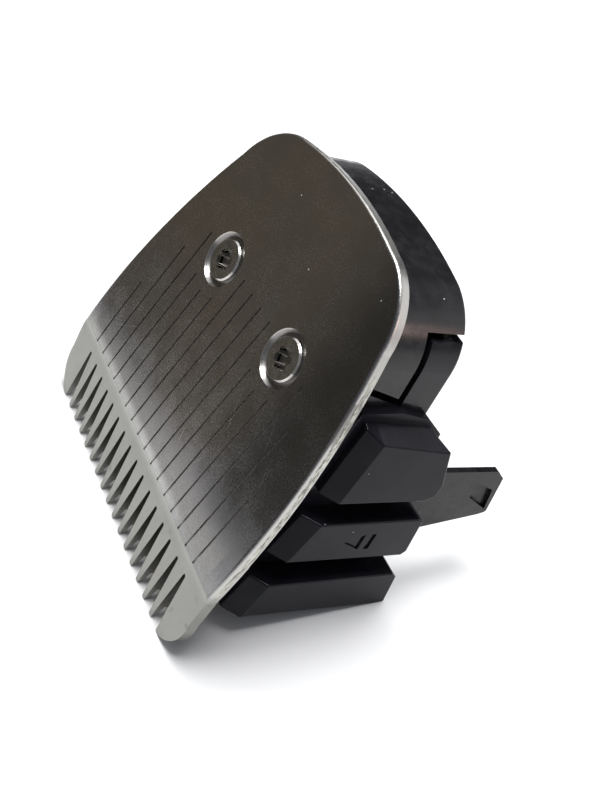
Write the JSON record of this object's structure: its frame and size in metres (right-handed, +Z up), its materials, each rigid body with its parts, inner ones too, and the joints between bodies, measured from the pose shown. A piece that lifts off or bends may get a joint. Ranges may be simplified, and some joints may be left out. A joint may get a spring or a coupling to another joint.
{
  "type": "hair clipper cutting head",
  "caption": "Detachable hair clipper head: steel comb plate over a sliding toothed blade, on a black housing with finger ribs and snap tongues.",
  "frame": {"origin": "middle of the footprint box, on the surface that the head leans on", "axes": "+X across the head along the blade's travel, +Y from the comb plate towards the handle, +Z up"},
  "size_m": [0.041, 0.0388, 0.0398],
  "materials": {
    "comb_steel": "satin stainless with fine scratches, ground matt on the tooth bevel",
    "blade_steel": "ground tool steel",
    "screw_steel": "polished stainless",
    "rivet_steel": "turned steel",
    "insert_brass": "turned brass",
    "spring_steel": "drawn spring wire",
    "carrier_plastic": "moulded acetal",
    "liner_plastic": "natural acetal",
    "housing_black": "glossy moulded black",
    "grip_black": "glossy moulded black",
    "tongue_black": "semi-gloss moulded black"
  },
  "bodies": {
    "head": {"guard_plate": "comb_steel", "guard_screw_left": "screw_steel", "guard_screw_right": "screw_steel", "screw_insert_left": "insert_brass", "screw_insert_right": "insert_brass", "blade_guide_bar": "rivet_steel", "rear_cap": "housing_black", "base_frame": "housing_black", "side_grip_left": "grip_black", "side_grip_right": "grip_black", "pressure_spring_left": "spring_steel", "pressure_spring_right": "spring_steel", "spring_post_left": "rivet_steel", "spring_post_right": "rivet_steel"},
    "cutter": {"cutter_blade": "blade_steel", "cutter_carrier": "carrier_plastic", "yoke_liner": "liner_plastic", "blade_rivet_left": "rivet_steel", "blade_rivet_right": "rivet_steel"},
    "tongue_left": {"snap_tongue_left": "tongue_black"},
    "tongue_right": {"snap_tongue_right": "tongue_black"}
  },
  "joints": [
    {"name": "cutter_slide", "type": "slide", "parent": "head", "child": "cutter", "axis": [1, 0, 0], "range_m": [-0.0011, 0.0011], "deforming": ["pressure_spring_left", "pressure_spring_right"]},
    {"name": "tongue_left_flex", "type": "hinge", "parent": "head", "child": "tongue_left", "pos_m": [-0.01413, 0.00039, 0.01189], "axis": [0, -0.1564, -0.9877], "range_deg": [0, 4], "stiffness_Nm_per_rad": 0.1},
    {"name": "tongue_right_flex", "type": "hinge", "parent": "head", "child": "tongue_right", "pos_m": [0.01413, 0.00039, 0.01189], "axis": [0, 0.1564, 0.9877], "range_deg": [0, 4], "stiffness_Nm_per_rad": 0.1}
  ]
}
